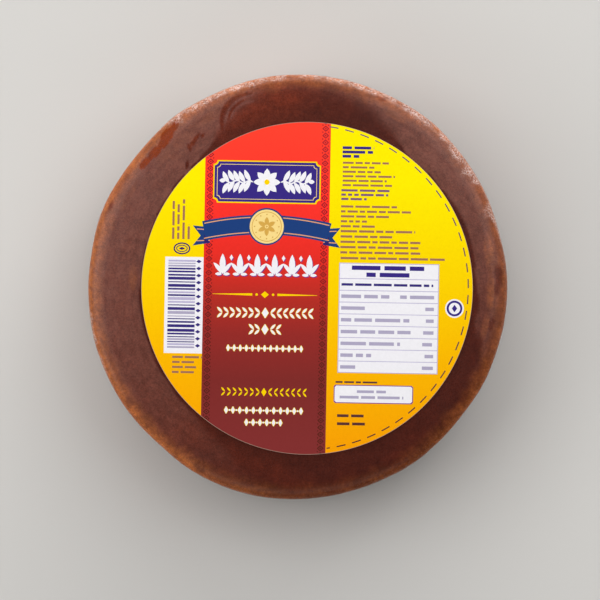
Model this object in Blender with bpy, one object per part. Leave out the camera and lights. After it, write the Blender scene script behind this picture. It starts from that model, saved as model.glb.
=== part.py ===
"""A round block of panela, unrefined brown cane sugar, in clear shrink film, with a round paper label.

The block lies flat on its underside, at z = 0, with the label on its top. Metres, +Z up, +Y towards
the top of the label's print.
"""

import math

import bmesh
import bpy
from mathutils import Vector

# The wrapped block, out to its film.
BLOCK_RADIUS = 0.0596  # the mean, where it is widest
BLOCK_HEIGHT = 0.0332  # at the middle of its top
CROWN = 0.0016  # how far the top would fall from its middle to the widest radius
CROWN_POWER = 4  # the fall's power of the radius: high, so that the middle is near flat
FOOT_ROUND = (0.0040, 0.0050)  # the lower edge's rounding: inwards, upwards
SHOULDER_ROUND = (0.0048, 0.0028)  # the upper edge's rounding: inwards, downwards
WIDEST_HEIGHT = 0.0110
SIDE_LEAN = 0.0006  # how far the side draws in from its widest height to the shoulder

# A hand-poured block isn't a true circle. Each wave runs so many times round it and adds its
# height to the radius, highest at its own angle from +X.
OUTLINE_WAVES = (
    (2, 0.00050, math.radians(73)),
    (4, 0.00015, math.radians(-6)),
    (7, 0.00009, math.radians(-8)),
)
# Its blunt corners and flats: bearing and reach to each side in degrees, and how far each stands out.
OUTLINE_CORNERS = (
    (14, 11, -0.00016),
    (51, 10, 0.00024),
    (125, 10, 0.00034),
    (141, 14, -0.00029),
    (160, 11, 0.00024),
    (228, 13, -0.00035),
    (303, 9, 0.00028),
    (332, 11, 0.00030),
)

# The label, stuck on a little off the middle of the top.
LABEL_RADIUS = 0.04645
LABEL_THICKNESS = 0.0003
LABEL_OFFSET = (0.00260, -0.00046)
LABEL_GAP = 0.0003  # clear of the film below

AROUND = 108  # sides of each round piece
FOOT_STEPS = 6
SIDE_STEPS = 5
SHOULDER_STEPS = 8
TOP_STEPS = 5  # rings from the shoulder to near the middle
LABEL_STEPS = 4  # rings from the label's edge to near its middle
SHARP_ANGLE = math.radians(40)


def remove_objects():
    for item in list(bpy.data.objects):
        bpy.data.objects.remove(item)


def material(name, color, roughness):
    made = bpy.data.materials.new(name)
    made.use_nodes = True
    shader = made.node_tree.nodes["Principled BSDF"]
    shader.inputs["Base Color"].default_value = (*color, 1.0)
    shader.inputs["Roughness"].default_value = roughness
    shader.inputs["Metallic"].default_value = 0.0
    return made


def outline_radius(angle):
    """The block's radius in this direction, where it is widest."""
    radius = BLOCK_RADIUS
    for times, height, top in OUTLINE_WAVES:
        radius += height * math.cos(times * (angle - top))
    for bearing, reach, height in OUTLINE_CORNERS:
        off = abs((math.degrees(angle) - bearing + 180) % 360 - 180) / reach
        if off < 1:
            radius += height * math.cos(0.5 * math.pi * off) ** 2
    return radius


def top_height(radius):
    """The crowned top's height at this radius."""
    return BLOCK_HEIGHT - CROWN * (radius / BLOCK_RADIUS) ** CROWN_POWER


def side_inset(height):
    """How far the side stands in from the widest radius at this height."""
    shoulder_height = top_height(BLOCK_RADIUS) - SHOULDER_ROUND[1]
    share = (height - WIDEST_HEIGHT) / (shoulder_height - WIDEST_HEIGHT)
    return SIDE_LEAN * share * share


def block_section():
    """(radius, height) pairs from the rim of the block's underside, up its side and over its top."""
    foot_in, foot_up = FOOT_ROUND
    shoulder_in, shoulder_down = SHOULDER_ROUND
    shoulder_height = top_height(BLOCK_RADIUS) - shoulder_down
    section = []
    for step in range(FOOT_STEPS):
        turn = 0.5 * math.pi * step / FOOT_STEPS
        inset = side_inset(foot_up) + foot_in * (1 - math.sin(turn))
        section.append((BLOCK_RADIUS - inset, foot_up * (1 - math.cos(turn))))
    for step in range(SIDE_STEPS):
        height = foot_up + (shoulder_height - foot_up) * step / SIDE_STEPS
        section.append((BLOCK_RADIUS - side_inset(height), height))
    for step in range(SHOULDER_STEPS + 1):
        turn = 0.5 * math.pi * step / SHOULDER_STEPS
        radius = BLOCK_RADIUS - SIDE_LEAN - shoulder_in * (1 - math.cos(turn))
        section.append((radius, top_height(radius) - shoulder_down * (1 - math.sin(turn))))
    edge_radius = section[-1][0]
    for step in range(TOP_STEPS - 1, 0, -1):
        radius = edge_radius * step / TOP_STEPS
        section.append((radius, top_height(radius)))
    return section


def block_rings():
    """The block's rings of points from its underside to its top, centred on the middle of their bounds."""
    angles = [2 * math.pi * side / AROUND for side in range(AROUND)]
    rim = [Vector((math.cos(a), math.sin(a))) * outline_radius(a) for a in angles]
    middle = Vector(
        (max(p[axis] for p in rim) + min(p[axis] for p in rim)) / 2 for axis in range(2)
    )
    rings = []
    for radius, height in block_section():
        share = radius / BLOCK_RADIUS
        rings.append([Vector((*(p * share - middle), height)) for p in rim])
    return rings


def label_ring(radius, raised):
    """A ring round the label's middle, raised above the block's crowned top."""
    ring = []
    for side in range(AROUND):
        angle = 2 * math.pi * side / AROUND
        x = LABEL_OFFSET[0] + radius * math.cos(angle)
        y = LABEL_OFFSET[1] + radius * math.sin(angle)
        ring.append(Vector((x, y, top_height(math.hypot(x, y)) + raised)))
    return ring


def label_rings():
    """The label's rings, out along its lower face and back in along its upper one."""
    radii = [LABEL_RADIUS * step / LABEL_STEPS for step in range(1, LABEL_STEPS + 1)]
    lower = [label_ring(radius, LABEL_GAP) for radius in radii]
    upper = [label_ring(radius, LABEL_GAP + LABEL_THICKNESS) for radius in reversed(radii)]
    return lower + upper


def solid_from_rings(name, rings, finish):
    """One closed body through the rings, listed from its underside to its top, with each end filled."""
    mesh = bpy.data.meshes.new(name)
    bm = bmesh.new()
    rows = [[bm.verts.new(point) for point in ring] for ring in rings]
    for before, after in zip(rows, rows[1:]):
        for side in range(AROUND):
            beside = (side + 1) % AROUND
            bm.faces.new((before[side], before[beside], after[beside], after[side]))
    ends = [bm.faces.new(tuple(reversed(rows[0]))), bm.faces.new(tuple(rows[-1]))]
    bmesh.ops.poke(bm, faces=ends)
    bm.to_mesh(mesh)
    bm.free()
    mesh.shade_smooth()
    mesh.set_sharp_from_angle(angle=SHARP_ANGLE)
    mesh.materials.append(finish)
    made = bpy.data.objects.new(name, mesh)
    bpy.context.scene.collection.objects.link(made)
    return made


def main():
    remove_objects()
    sugar = material("sugar_under_film", (0.12, 0.028, 0.012), 0.22)
    paper = material("label_paper", (1.0, 0.65, 0.01), 0.5)
    solid_from_rings("panela_disc", block_rings(), sugar)
    solid_from_rings("label", label_rings(), paper)


main()
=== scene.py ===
"""Looks for a round block of panela, unrefined brown cane sugar, in clear shrink film with a paper label.

The sugar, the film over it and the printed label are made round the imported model, in metres. The
label's artwork is drawn in millimetres from the label's middle, u to the right and v up its print.
"""

import math
import random

import bmesh
import bpy
import numpy as np
from bpy.props import FloatProperty, FloatVectorProperty, IntProperty, PointerProperty
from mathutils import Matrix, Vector, geometry, noise


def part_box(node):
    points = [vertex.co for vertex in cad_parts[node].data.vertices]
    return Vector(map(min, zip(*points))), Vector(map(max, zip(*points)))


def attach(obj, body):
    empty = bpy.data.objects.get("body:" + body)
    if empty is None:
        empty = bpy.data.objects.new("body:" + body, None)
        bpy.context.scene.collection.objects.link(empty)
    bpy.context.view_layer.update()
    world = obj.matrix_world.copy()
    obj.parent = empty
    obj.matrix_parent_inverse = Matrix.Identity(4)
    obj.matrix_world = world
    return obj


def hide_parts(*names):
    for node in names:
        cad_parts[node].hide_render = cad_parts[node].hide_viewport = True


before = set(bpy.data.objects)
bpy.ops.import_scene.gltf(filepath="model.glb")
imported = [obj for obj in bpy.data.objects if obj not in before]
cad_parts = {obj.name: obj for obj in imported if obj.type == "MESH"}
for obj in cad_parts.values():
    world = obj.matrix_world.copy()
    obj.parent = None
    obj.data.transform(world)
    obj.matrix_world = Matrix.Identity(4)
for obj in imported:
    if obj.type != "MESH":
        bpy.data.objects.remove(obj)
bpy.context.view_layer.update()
BLOCK_LOW, BLOCK_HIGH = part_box("panela_disc")
LABEL_LOW, LABEL_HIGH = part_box("label")

bl_info = {
    "name": "Panela Block",
    "version": (1, 0, 0),
    "blender": (4, 5, 0),
    "location": "View3D > Sidebar > Panela",
    "description": "A shrink-wrapped round block of panela with a printed paper label",
    "category": "Add Mesh",
}

BODY = "root"
MM = 0.001


def linear(hex_color):
    """An sRGB hex colour as linear RGBA."""
    channels = [int(hex_color[at : at + 2], 16) / 255 for at in (1, 3, 5)]
    return (*(c / 12.92 if c <= 0.04045 else ((c + 0.055) / 1.055) ** 2.4 for c in channels), 1.0)


def length_property(name, description, default):
    return FloatProperty(name=name, description=description, default=default, unit="LENGTH", precision=4)


def share_property(name, description, default):
    return FloatProperty(name=name, description=description, default=default, min=0, max=1)


def color_property(name, description, hex_color):
    return FloatVectorProperty(
        name=name, description=description, default=linear(hex_color), subtype="COLOR", size=4, min=0, max=1
    )


# ---------------------------------------------------------------- settings


class PANELA_PG_block(bpy.types.PropertyGroup):
    """Sizes of the block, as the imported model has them, its gap to the film and its sugar's colours."""

    height: length_property("Height", "Height at the middle of the top", BLOCK_HIGH.z)
    crown: length_property("Crown", "How far the top falls towards its edge", 1.6 * MM)
    crown_power: FloatProperty(name="Crown power", description="How late the top falls", default=4.0)
    foot_in: length_property("Foot inwards", "Lower edge's rounding, inwards", 4.0 * MM)
    foot_up: length_property("Foot upwards", "Lower edge's rounding, upwards", 5.0 * MM)
    shoulder_in: length_property("Shoulder inwards", "Upper edge's rounding, inwards", 4.8 * MM)
    shoulder_down: length_property("Shoulder downwards", "Upper edge's rounding, downwards", 2.8 * MM)
    widest: length_property("Widest height", "Height at which the block is widest", 11.0 * MM)
    lean: length_property("Lean", "How far the side draws in below the shoulder", 0.6 * MM)
    gap: length_property("Gap", "How far the sugar stands in from its film", 0.12 * MM)
    # Partly painted shade: this deep brown holds the bottom of the block, where less light fell.
    deep: color_property("Deep brown", "Sugar at its darkest, under film that clings", "#491D14")
    # Partly painted light: this red brown lies towards the top, where more light fell.
    warm: color_property("Red brown", "Sugar at its warmest, under film that clings", "#682817")
    # Partly painted sheen: the lamps' hazy reflection on the film, painted into this brown where the film
    # has lifted.
    frosted: color_property("Frosted brown", "Sugar seen through film that has lifted", "#714034")
    # Partly painted glow: this amber along the rim stands in for light shining through the thin sugar; it
    # also colours the sugar's own lighter streaks.
    amber: color_property("Amber", "Thin, light sugar along the edges", "#BE6B36")
    bright_amber: color_property("Bright amber", "Clear streaks of sugar near the edge", "#7C2E08")
    # Painted highlight: pale glints of the lamps on the wrinkled film along the rim, painted as a colour.
    bloom: color_property("Bloom", "Dry, pale grains along the edge", "#D6BBB3")


class PANELA_PG_film(bpy.types.PropertyGroup):
    """The clear shrink film."""

    roughness: share_property("Roughness", "Haze of the film's gloss", 0.28)
    ior: FloatProperty(name="IOR", description="Index of refraction of polyolefin", default=1.5)
    gloss: share_property("Gloss", "Share of its gloss that lifted film keeps", 0.48)
    wet_gloss: share_property("Wet gloss", "The same where the film clings", 0.28)
    seam_height: length_property("Seam height", "Where the side seal runs", 9.0 * MM)
    seam_ridge: length_property("Seam ridge", "How far the seal stands out", 0.22 * MM)
    pleats: IntProperty(name="Pleats", description="Folds drawn in round the foot", default=17)
    pleat_ridge: length_property("Pleat ridge", "How far a fold stands out", 0.28 * MM)


class PANELA_PG_label(bpy.types.PropertyGroup):
    """The paper label and its inks."""

    radius: length_property("Radius", "Radius of the label", (LABEL_HIGH.x - LABEL_LOW.x) / 2)
    thickness: length_property("Thickness", "Thickness of the paper", 0.13 * MM)
    turn: FloatProperty(
        name="Turn", description="How the print is turned", default=math.radians(-1), subtype="ANGLE"
    )
    paper: color_property("Paper", "Bare coated paper", "#F4F2F6")
    panel: color_property("Panel blue", "Ground of the top panel", "#3A2C82")
    navy: color_property("Ribbon navy", "Ribbon", "#20407C")
    peach: color_property("Peach", "Fine lines along the ribbon", "#E6A578")
    cream: color_property("Cream", "Medallion and keylines", "#FADC8C")
    straw: color_property("Straw", "Fine drawing on the medallion", "#D9A94E")
    gold: color_property("Gold", "Divider and one line of the band", "#FFD500")
    violet: color_property("Violet", "Small bold print", "#382464")
    bar: color_property("Bar", "Bars of the code", "#3A2F7A")
    mauve: color_property("Mauve", "Bold fine print", "#7E5A7A")
    plum: color_property("Plum", "Fine print on the yellow", "#A57355")
    heather: color_property("Heather", "Fine print on the paper", "#AFA8C2")
    lilac: color_property("Lilac", "Rules and screens", "#BBB3D2")
    shade: color_property("Shade", "Shadow under the heading", "#7A3A8C")
    # Painted light: a thin grey-tan ring round the print stands in for the paper's cut edge as the light
    # catches it.
    cut_edge: color_property("Cut edge", "Bare paper along the die-cut edge", "#A88474")
    bare: length_property("Bare edge", "Width of the bare paper along the cut edge", 0.13 * MM)
    squeeze: share_property("Squeeze", "The label's width over its height", 0.997)


class PANELA_PG_stage(bpy.types.PropertyGroup):
    """Floor, light and camera."""

    floor: color_property("Floor", "Plain pale floor", "#D4D2CE")
    camera_height: length_property("Camera height", "Camera above the block's top", 1.2)
    lens: FloatProperty(name="Lens", description="Focal length in millimetres", default=258.0)


SETTINGS = (PANELA_PG_block, PANELA_PG_film, PANELA_PG_label, PANELA_PG_stage)


def settings_name(group):
    """The scene property that holds a group of settings, such as panela_block."""
    return "panela_" + group.__name__.rsplit("_", 1)[1]


# ---------------------------------------------------------------- shared helpers


def add_node(material, kind, inputs=None, **settings):
    """Adds a node; each input is given a value, or the output socket that feeds it."""
    node = material.node_tree.nodes.new("ShaderNode" + kind)
    for name, value in settings.items():
        setattr(node, name, value)
    for name, value in (inputs or {}).items():
        if isinstance(value, bpy.types.NodeSocket):
            material.node_tree.links.new(value, node.inputs[name])
        else:
            node.inputs[name].default_value = value
    return node


def new_material(name):
    """An empty material and its output node."""
    material = bpy.data.materials.new(name)
    material.use_nodes = True
    material.node_tree.nodes.clear()
    return material, add_node(material, "OutputMaterial")


def set_ramp(ramp_node, stops):
    """Gives a colour ramp its (position, colour) stops."""
    elements = ramp_node.color_ramp.elements
    while len(elements) < len(stops):
        elements.new(1.0)
    for element, (position, color) in zip(elements, stops):
        element.position = position
        element.color = color


def link_piece(name, mesh, slot, *nodes):
    """Makes an object of the mesh that rides on the block and stands for these solids."""
    piece = bpy.data.objects.new(name, mesh)
    bpy.context.scene.collection.objects.link(piece)
    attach(piece, BODY)
    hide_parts(*nodes)
    return piece


def smooth_step(low, high, value):
    share = np.clip((value - low) / (high - low), 0, 1)
    return share * share * (3 - 2 * share)


def noise_field(points, size, seed):
    """Smooth noise from -1 to 1 at each point, with features of about this size."""
    shift = Vector((seed * 7.3, seed * 3.1, seed * 5.7))
    return np.array([noise.noise(Vector(point) / size + shift) for point in points])


def swirled_field(grid, length, width, seed):
    """Smooth noise from -1 to 1 with features this long round the block and this wide across it."""
    around = grid.radius.max() / length
    across = (grid.radius + BLOCK_HIGH.z - grid.height) / width
    bent = [around * np.cos(grid.angle), around * np.sin(grid.angle), across]
    return noise_field(np.stack(bent, axis=1), 1, seed)


# ---------------------------------------------------------------- the block's form

CAD_SIDES = 108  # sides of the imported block's rings

def crown_height(block, radius, rim=(BLOCK_HIGH.x - BLOCK_LOW.x) / 2):
    """Height of the crowned top at this distance from its middle."""
    return block.height - block.crown * (radius / rim) ** block.crown_power


def outline():
    """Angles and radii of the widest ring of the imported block."""
    points = np.array([tuple(v.co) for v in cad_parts["panela_disc"].data.vertices])
    angles = np.arctan2(points[:, 1], points[:, 0])
    radii = np.hypot(points[:, 0], points[:, 1])
    sector = np.floor((angles / (2 * math.pi)) % 1 * CAD_SIDES + 0.5).astype(int) % CAD_SIDES
    widest = np.array([radii[sector == at].max() for at in range(CAD_SIDES)])
    return np.arange(CAD_SIDES) * 2 * math.pi / CAD_SIDES, widest


def section(block, rim):
    """(radius, height) points from the middle of the underside, up the side, to the middle of the top."""
    shoulder_height = crown_height(block, rim) - block.shoulder_down

    def lean(height):
        return block.lean * ((height - block.widest) / (shoulder_height - block.widest)) ** 2

    points = [(0.0, 0.0)]
    for turn in np.linspace(0, math.pi / 2, 24):
        inset = block.foot_in * (1 - math.sin(turn))
        points.append((rim - lean(block.foot_up) - inset, block.foot_up * (1 - math.cos(turn))))
    for height in np.linspace(block.foot_up, shoulder_height, 30)[1:-1]:
        points.append((rim - lean(height), height))
    for turn in np.linspace(0, math.pi / 2, 30):
        radius = rim - block.lean - block.shoulder_in * (1 - math.cos(turn))
        points.append((radius, crown_height(block, radius) - block.shoulder_down * (1 - math.sin(turn))))
    for radius in np.linspace(points[-1][0], 0, 40)[1:]:
        points.append((radius, crown_height(block, radius)))
    return np.array(points)


COARSE_STEP = 3.0 * MM
UNDER_STEP = 1.2 * MM
HIDDEN_RADIUS = 42.5 * MM  # inside this the top is under the label


class BlockGrid:
    """A grid of points over the block's whole skin, with what each needs to know of its place."""

    def __init__(self, block, around, fine_step):
        angles, radii = outline()
        rim = float(radii.mean())
        curve = section(block, rim)
        along = np.concatenate([[0], np.cumsum(np.hypot(*np.diff(curve, axis=0).T))])
        foot, fine_to = rim - block.foot_in, along[-1] - HIDDEN_RADIUS
        under_from = 0.5 * HIDDEN_RADIUS
        places = np.concatenate([
            np.arange(COARSE_STEP, under_from, COARSE_STEP),
            np.linspace(under_from, foot, round((foot - under_from) / UNDER_STEP), endpoint=False),
            np.linspace(foot, fine_to, round((fine_to - foot) / fine_step) + 1),
            np.arange(fine_to + COARSE_STEP, along[-1] - COARSE_STEP / 2, COARSE_STEP),
        ])
        ring_radius = np.interp(places, along, curve[:, 0])
        ring_height = np.interp(places, along, curve[:, 1])
        slope_radius = np.gradient(ring_radius, places)
        slope_height = np.gradient(ring_height, places)
        steep = np.hypot(slope_radius, slope_height)

        self.around = around
        self.rings = len(places)
        turn = np.arange(around) * 2 * math.pi / around
        share = np.interp(turn, angles, radii, period=2 * math.pi) / rim
        self.angle = np.tile(turn, self.rings)
        self.radius = np.repeat(ring_radius, around)
        self.height = np.repeat(ring_height, around)
        reach = self.radius * np.tile(share, self.rings)
        cosine, sine = np.cos(self.angle), np.sin(self.angle)
        self.points = np.stack([reach * cosine, reach * sine, self.height], axis=1)
        outwards = np.repeat(slope_height / steep, around)
        self.upwards = np.repeat(-slope_radius / steep, around)
        self.normals = np.stack([outwards * cosine, outwards * sine, self.upwards], axis=1)

    def mesh(self, name, raised):
        """The closed skin, raised this far along its normals at each point."""
        moved = self.points + self.normals * raised[:, None]
        bottom, top = len(moved), len(moved) + 1
        first, last = moved[: self.around, 2].mean(), moved[-self.around :, 2].mean()
        vertices = np.concatenate([moved, [(0, 0, first), (0, 0, last)]])
        faces = []
        for ring in range(self.rings - 1):
            here, above = ring * self.around, (ring + 1) * self.around
            for side in range(self.around):
                beside = (side + 1) % self.around
                faces.append((here + side, here + beside, above + beside, above + side))
        end = (self.rings - 1) * self.around
        for side in range(self.around):
            beside = (side + 1) % self.around
            faces.append((beside, side, bottom))
            faces.append((end + side, end + beside, top))
        mesh = bpy.data.meshes.new(name)
        mesh.from_pydata(vertices.tolist(), [], faces)
        mesh.shade_smooth()
        return mesh

    def write(self, mesh, name, values):
        """Stores a number from 0 to 1 on each point, for the material to read."""
        attribute = mesh.attributes.new(name, "FLOAT", "POINT")
        ends = [values[: self.around].mean(), values[-self.around :].mean()]
        attribute.data.foreach_set("value", np.concatenate([values, ends]).astype(np.float32))

    def wheel(self, marks, wobble=0.0):
        """A value that changes round the block, through these (bearing in degrees, value) marks."""
        bearings, values = zip(*marks)
        return np.interp(np.degrees(self.angle) + wobble, bearings, values, period=360)

    def patch(self, x, y, turn, half_length, half_width):
        """1 in the middle of a long spot on the top, 0 from its edge outwards; sizes in millimetres."""
        across = self.points[:, :2] / MM - (x, y)
        turn = math.radians(turn)
        along = across @ (math.cos(turn), math.sin(turn))
        aside = across @ (-math.sin(turn), math.cos(turn))
        away = np.hypot(along / half_length, aside / half_width)
        return (1 - smooth_step(0.55, 1.0, away)) * (self.upwards > 0)

    def arc(self, x, y, radius, middle, half_angle, half_width):
        """1 along an arc on the top, thinning out to its ends; sizes in millimetres and degrees."""
        across = self.points[:, :2] / MM - (x, y)
        bearing = np.degrees(np.arctan2(across[:, 1], across[:, 0]))
        off = np.abs((bearing - middle + 180) % 360 - 180) / half_angle
        width = half_width * np.sqrt(np.clip(1 - off * off, 0.0001, 1))
        away = np.abs(np.hypot(across[:, 0], across[:, 1]) - radius) / width
        return (1 - smooth_step(0.4, 1.0, away)) * (off < 1) * (self.upwards > 0)


def broad_relief(points):
    """The slow unevenness that a poured block keeps and its film follows, in metres."""
    return 0.16 * MM * noise_field(points, 17 * MM, 1) + 0.05 * MM * noise_field(points, 6 * MM, 2)


# ---------------------------------------------------------------- sugar

# Marks round the block, each a bearing in degrees and a value.
# How far the film has lifted off the sugar, which then looks dry and frosty; these marks also put the brown
# of lifted film where the lamps' hazy reflection lay, so it is partly painted sheen.
LIFTED_SHEEN_WHEEL = (
    (0, 0.66), (15, 0.85), (30, 1.0), (50, 1.0), (63, 0.95), (75, 0.70), (86, 0.36), (97, 0.30),
    (104, 0.50), (112, 0.95), (150, 1.0), (172, 0.94), (195, 0.82), (212, 0.66), (228, 0.44), (245, 0.22),
    (260, 0.10), (325, 0.0), (345, 0.52),
)
# How far beyond the label it clings all the same, in millimetres.
CLINGING_WHEEL = (
    (0, 0.9), (24, 0.9), (34, 0.25), (52, 0.25), (58, 2.8), (66, 5.6), (75, 8.5), (90, 10), (104, 8.4),
    (111, 5.4), (117, 3.2), (124, 1.8), (129, 0.7), (133, 0.1), (170, 0.1), (190, 0.25), (215, 0.4),
    (232, 0.8), (248, 4), (260, 12), (322, 16), (336, 7), (348, 1.4),
)
# Red-brown sugar instead of deep brown: partly the sugar's own tone, partly painted light, more towards the
# top where more light fell.
WARM_LIT_WHEEL = (
    (0, 0.45), (30, 0.50), (62, 0.10), (80, 0.15), (92, 0.95), (150, 0.85), (190, 0.65), (232, 0.55),
    (262, 0.22), (290, 0.10), (310, 0.0), (330, 0.0),
)
# Amber along the edge, partly painted glow: light shining through the thin sugar at the rim, stronger on
# some sides, as the light fell.
AMBER_GLOW_WHEEL = (
    (0, 0.55), (8, 0.45), (20, 0.62), (45, 0.80), (75, 0.80), (95, 0.85), (104, 1.0), (112, 0.88),
    (130, 0.95), (142, 0.95), (165, 1.05), (192, 1.20), (212, 1.2), (232, 1.12), (250, 0.66), (275, 0.38),
    (305, 0.44), (322, 0.80), (342, 0.62),
)
# How far in from the rim the painted highlight reaches, in millimetres: pale glints of the lamps on the
# film, painted into the sugar's colour.
GLINT_WHEEL = (
    (-12, 0.35), (-5, 0.25), (4, 0.3), (12, 0.5), (18, 0.9), (20, 2.3), (22.5, 2.4), (24, 0.7), (28, 0.5),
    (31, 2.1), (36, 2.9), (41, 2.6), (45, 2.2), (48, 1.1), (51, 1.6), (57, 2.0), (59.5, 1.5), (61, 0.5),
    (63, 1.2), (72, 1.4), (84, 1.2), (96, 1.2), (104, 1.5), (110, 2.2), (122, 2.3), (124, 1.2), (126, 1.9),
    (129, 0.9), (133, 0.3), (165, 0.15), (184, 0.3), (188, 0.9), (203, 0.8), (212, 0.2), (250, 0.12),
    (340, 0.12),
)
AMBER_GLOW_REACH = 5.6  # in from the rim, in millimetres
# Painted highlight: the light line at the very rim stands in for the film's gloss at the edge.
RIM_HIGHLIGHT = 1.3  # width of the thin, light line at the very rim, in millimetres
# Dark folds where the film clings, by the upper left: x, y, radius, bearing, half angle, half width.
CLINGING_ARCS = (
    (-13.1, 45.9, 8.1, 144, 56, 1.15),
    (-13.1, 45.9, 6.3, 142, 34, 0.60),
)
# Lifted folds beyond them, the same way.
LIFTED_ARCS = (
    (-13.1, 45.9, 7.3, 136, 36, 0.36),
    (-12.6, 46.6, 5.2, 118, 34, 0.70),
)
# Dark flecks beside the label: x, y, turn, half length, half width.
CLINGING_FLECKS = (
    (-28.5, 41.3, 55, 2.6, 0.72),
    (-29.4, 40.0, 50, 1.3, 0.85),
    (-30.3, 38.9, -64, 1.5, 0.62),
    (-30.9, 34.0, 84, 1.7, 0.62),
    (-26.6, 42.2, 60, 0.9, 0.55),
)
# Dark spots near the edge, the same way.
DARK_SPOTS = (
    (56.2, 3.4, 98, 3.6, 1.5),
    (55.7, -0.4, 84, 2.8, 1.1),
    (54.2, -10.5, 76, 2.6, 1.0),
    (-52.3, 22.6, 66, 2.0, 0.7),
)
# Clear, deep amber streaks on the top: x, y, turn, half length, half width, strength.
DEEP_STREAKS = (
    (-34.7, 44.5, 58, 3.1, 1.25, 1.0),
    (-36.6, 42.2, 58, 2.9, 2.1, 1.0),
    (-37.5, 40.2, 50, 2.6, 1.5, 1.0),
    (-39.9, 37.6, 45, 3.0, 1.45, 1.0),
    (-42.3, 35.0, 47, 2.7, 1.1, 1.0),
    (-43.4, 33.9, 70, 1.3, 1.0, 1.0),
    (23.4, 52.6, -26, 2.2, 0.8, 0.5),
)
# Lighter, broken ones, the same way.
LIGHT_STREAKS = (
    (-27.5, 47.5, 30, 9.0, 4.2, 0.13),
    (-33.5, 40.0, 48, 10.0, 4.0, 0.09),
    (53.6, 9.0, 95, 7.5, 1.8, 0.42),
    (53.9, -1.5, 88, 6.5, 1.5, 0.42),
    (52.4, -11.0, 78, 5.0, 1.4, 0.26),
    (-46.0, 2.4, 88, 4.2, 1.3, 0.30),
    (-47.5, 25.5, 62, 6.0, 1.6, 0.16),
    (27.0, 48.0, -30, 6.0, 1.4, 0.20),
)


def beyond_label(grid):
    """How far each point lies outside the label's edge, in millimetres."""
    middle = (LABEL_LOW + LABEL_HIGH) / 2
    reach = np.hypot(grid.points[:, 0] - middle.x, grid.points[:, 1] - middle.y)
    return (reach - (LABEL_HIGH.x - LABEL_LOW.x) / 2) / MM


def inside_rim(grid):
    """How far each point lies in from the rim, in millimetres."""
    return (grid.radius.max() - grid.radius) / MM


def upper_part(grid):
    """1 on the top and its shoulder, fading out down the side."""
    return smooth_step(0.45 * BLOCK_HIGH.z, 0.8 * BLOCK_HIGH.z, grid.height)


def deep_streak(grid):
    """How much clear, deep amber sugar shows in streaks on the top, 0 to 1."""
    amount = np.zeros(len(grid.points))
    for x, y, turn, half_length, half_width, strength in DEEP_STREAKS:
        amount = np.maximum(amount, strength * grid.patch(x, y, turn, half_length, half_width))
    return smooth_step(0.2, 0.7, amount)


def lifted(grid):
    """How far the film stands off the sugar, 0 to 1; it also lays the brown of lifted film, which is partly
    painted sheen.
    """
    sway = swirled_field(grid, 9 * MM, 5 * MM, 11) + 0.5 * swirled_field(grid, 3.5 * MM, 2 * MM, 12)
    beyond = beyond_label(grid) + 0.6 * sway
    clinging = grid.wheel(CLINGING_WHEEL, 4 * sway)
    amount = grid.wheel(LIFTED_SHEEN_WHEEL, 6 * sway) * smooth_step(0.6 * clinging, 1.5 * clinging, beyond)
    amount *= 0.93 + 0.07 * smooth_step(-1, 8, beyond)
    for arc in LIFTED_ARCS:
        amount = np.maximum(amount, 0.7 * grid.arc(*arc))
    for arc in CLINGING_ARCS:
        amount *= 1 - grid.arc(*arc)
    for fleck in CLINGING_FLECKS:
        amount *= 1 - grid.patch(*fleck)
    for spot in DARK_SPOTS:
        amount *= 1 - 0.7 * grid.patch(*spot)
    return amount * (1 - deep_streak(grid)) * (0.35 + 0.65 * upper_part(grid))


def warm(grid):
    """How red the brown of the sugar is, 0 to 1: partly its own tone, partly painted light, and less of it
    next to the label.
    """
    amount = grid.wheel(WARM_LIT_WHEEL) + 0.5 * noise_field(grid.points, 8 * MM, 16)
    amount *= 0.35 + 0.65 * smooth_step(0, 7, beyond_label(grid))
    return np.clip(amount, 0, 1)


def amber_edge(grid):
    """How much amber shows along the edge, 0 to 1: painted glow of light through the thin rim, and the
    sugar's own lighter streaks.
    """
    sway = swirled_field(grid, 5 * MM, 4 * MM, 13) + 0.5 * swirled_field(grid, 1.8 * MM, 2.5 * MM, 17)
    thin = np.clip(1 - (inside_rim(grid) + 1.1 * sway) / AMBER_GLOW_REACH, 0, 1) ** 1.5
    # Painted highlight: a thin light line at the very rim.
    thin += 0.35 * (1 - smooth_step(0, RIM_HIGHLIGHT, inside_rim(grid)))
    strength = 1.15 * grid.wheel(AMBER_GLOW_WHEEL, 5 * sway) * (0.28 + 0.72 * upper_part(grid))
    amount = np.clip(thin * strength, 0, 1)
    broken = smooth_step(-0.35, 0.25, swirled_field(grid, 4 * MM, 1.6 * MM, 18))
    for x, y, turn, half_length, half_width, strength in LIGHT_STREAKS:
        streak = grid.patch(x, y, turn, half_length, half_width)
        amount = np.maximum(amount, strength * streak * (0.4 + 0.6 * broken))
    for spot in DARK_SPOTS:
        amount *= 1 - 0.75 * grid.patch(*spot)
    return amount


def bloom(grid):
    """How much of the edge carries painted highlight, pale glints of the lamps on the film, 0 to 1."""
    clumps = swirled_field(grid, 3 * MM, 6 * MM, 14)
    teeth = swirled_field(grid, 1.0 * MM, 7 * MM, 15)
    reach = grid.wheel(GLINT_WHEEL, 1.5 * clumps) * (1.15 + 0.8 * clumps + 0.45 * teeth)
    edge = 1 - smooth_step(0.55 * reach, 1.2 * reach + 0.2, inside_rim(grid))
    fall = smooth_step(0.5 * BLOCK_HIGH.z, 0.9 * BLOCK_HIGH.z, grid.height + (1.5 * clumps + teeth) * MM)
    return edge * smooth_step(0.1, 0.6, reach) * (0.66 + 0.28 * smooth_step(-0.3, 0.2, clumps)) * fall


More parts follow.
